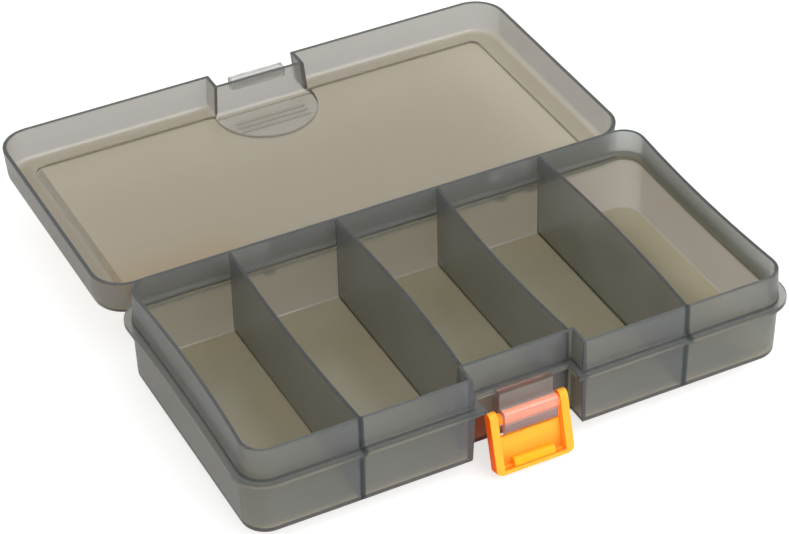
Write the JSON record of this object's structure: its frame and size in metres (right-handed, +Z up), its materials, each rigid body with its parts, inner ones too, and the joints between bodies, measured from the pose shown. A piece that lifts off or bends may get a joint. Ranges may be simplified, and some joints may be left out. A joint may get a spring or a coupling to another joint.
{
  "type": "lure box",
  "caption": "Shallow smoke-clear case with fixed dividers, a hinged lid and an orange swing latch, shown open.",
  "frame": {"origin": "centre of the tray's flat underside", "axes": "+X along the long side, +Y from the latch towards the hinge, +Z up out of the tray's open side; the lid lies open behind the tray and the latch hangs open in front"},
  "size_m": [0.162, 0.175, 0.0317],
  "materials": {
    "smoke_clear": "gloss, smoke-tinted and see-through",
    "orange_clear": "gloss, slightly see-through orange"
  },
  "bodies": {
    "tray": {"tray_shell": "smoke_clear", "divider_1": "smoke_clear", "divider_2": "smoke_clear", "divider_3": "smoke_clear", "divider_4": "smoke_clear", "latch_bracket": "smoke_clear", "hinge_ear_1": "smoke_clear", "hinge_ear_2": "smoke_clear", "hinge_ear_3": "smoke_clear", "hinge_ear_4": "smoke_clear"},
    "lid": {"lid_shell": "smoke_clear", "lid_panel": "smoke_clear", "thumb_pad": "smoke_clear", "catch_bar": "smoke_clear", "lid_knuckle_left": "smoke_clear", "lid_knuckle_right": "smoke_clear"},
    "latch": {"latch_frame": "orange_clear", "latch_hook": "orange_clear"}
  },
  "joints": [
    {"name": "lid_hinge", "type": "hinge", "parent": "tray", "child": "lid", "pos_m": [0, 0.04455, 0.0193], "axis": [1, 0, 0], "range_deg": [0, 180]},
    {"name": "latch_pivot", "type": "hinge", "parent": "tray", "child": "latch", "pos_m": [0, -0.0385, 0.0105], "axis": [-1, 0, 0], "range_deg": [0, 165]}
  ]
}
